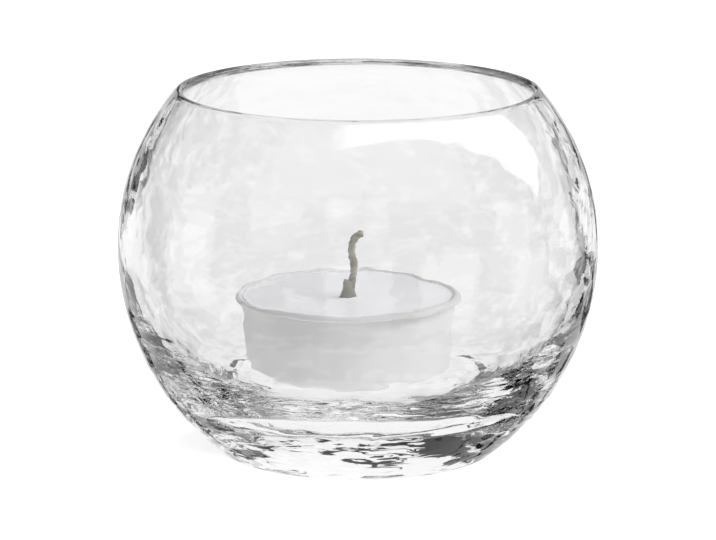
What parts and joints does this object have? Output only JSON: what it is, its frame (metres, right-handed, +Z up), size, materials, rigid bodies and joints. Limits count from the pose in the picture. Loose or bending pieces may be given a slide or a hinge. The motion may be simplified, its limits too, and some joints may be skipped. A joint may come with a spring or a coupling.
{
  "type": "hurricane candle holder",
  "caption": "Round hammered clear glass candle holder with a thick floor and an open rim, holding a tealight in a thin metal cup.",
  "frame": {"origin": "centre of the glass bowl's foot, on the surface that it stands on", "axes": "+Z up along the bowl's axis, +X to the right and +Y away from someone who looks at the front, where the tealight stands a little to the left"},
  "size_m": [0.0834, 0.0834, 0.0637],
  "materials": {
    "clear_glass": "hammered outside, polished inside and at the rim",
    "cup_aluminium": "satin, drawn from thin sheet",
    "paraffin_wax": "smooth, slightly translucent, bluish white",
    "tinned_steel": "tinned, thin sheet",
    "waxed_cotton": "twisted strands, waxed"
  },
  "bodies": {
    "bowl": {"glass_bowl": "clear_glass"},
    "cup": {"tealight_cup": "cup_aluminium"},
    "candle": {"wax_puck": "paraffin_wax", "wick_sustainer": "tinned_steel", "wick": "waxed_cotton"}
  },
  "joints": [
    {"name": "tealight_lift", "type": "slide", "parent": "bowl", "child": "cup", "axis": [0, 0, 1], "range_m": [0, 0.06]},
    {"name": "candle_lift", "type": "slide", "parent": "cup", "child": "candle", "axis": [0, 0, 1], "range_m": [0, 0.06]}
  ]
}
